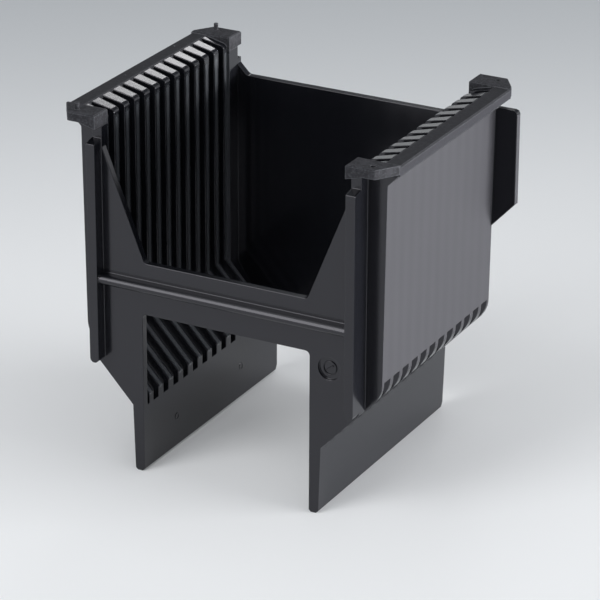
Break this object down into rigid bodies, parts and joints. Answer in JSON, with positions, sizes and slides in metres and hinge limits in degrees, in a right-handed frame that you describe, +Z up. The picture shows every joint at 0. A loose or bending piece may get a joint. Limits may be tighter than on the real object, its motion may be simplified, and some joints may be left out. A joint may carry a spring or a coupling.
{
  "type": "wafer cassette",
  "caption": "Open wafer cassette in black plastic: facing toothed side walls curving in to two legs, cut-out front panel with a cross bar, low back wall, flanged top rails and handle plates.",
  "frame": {"origin": "middle of the overall footprint, at the floor the legs stand on", "axes": "+Z up, +Y from the front panel with the bar to the back wall, +X across the legs to the side with the locating holes"},
  "size_m": [0.0924, 0.0704, 0.0923],
  "materials": {
    "body": "semi-gloss black moulded plastic, fine grain on the flat tops"
  },
  "bodies": {
    "root": {"cassette": "body"}
  },
  "joints": []
}
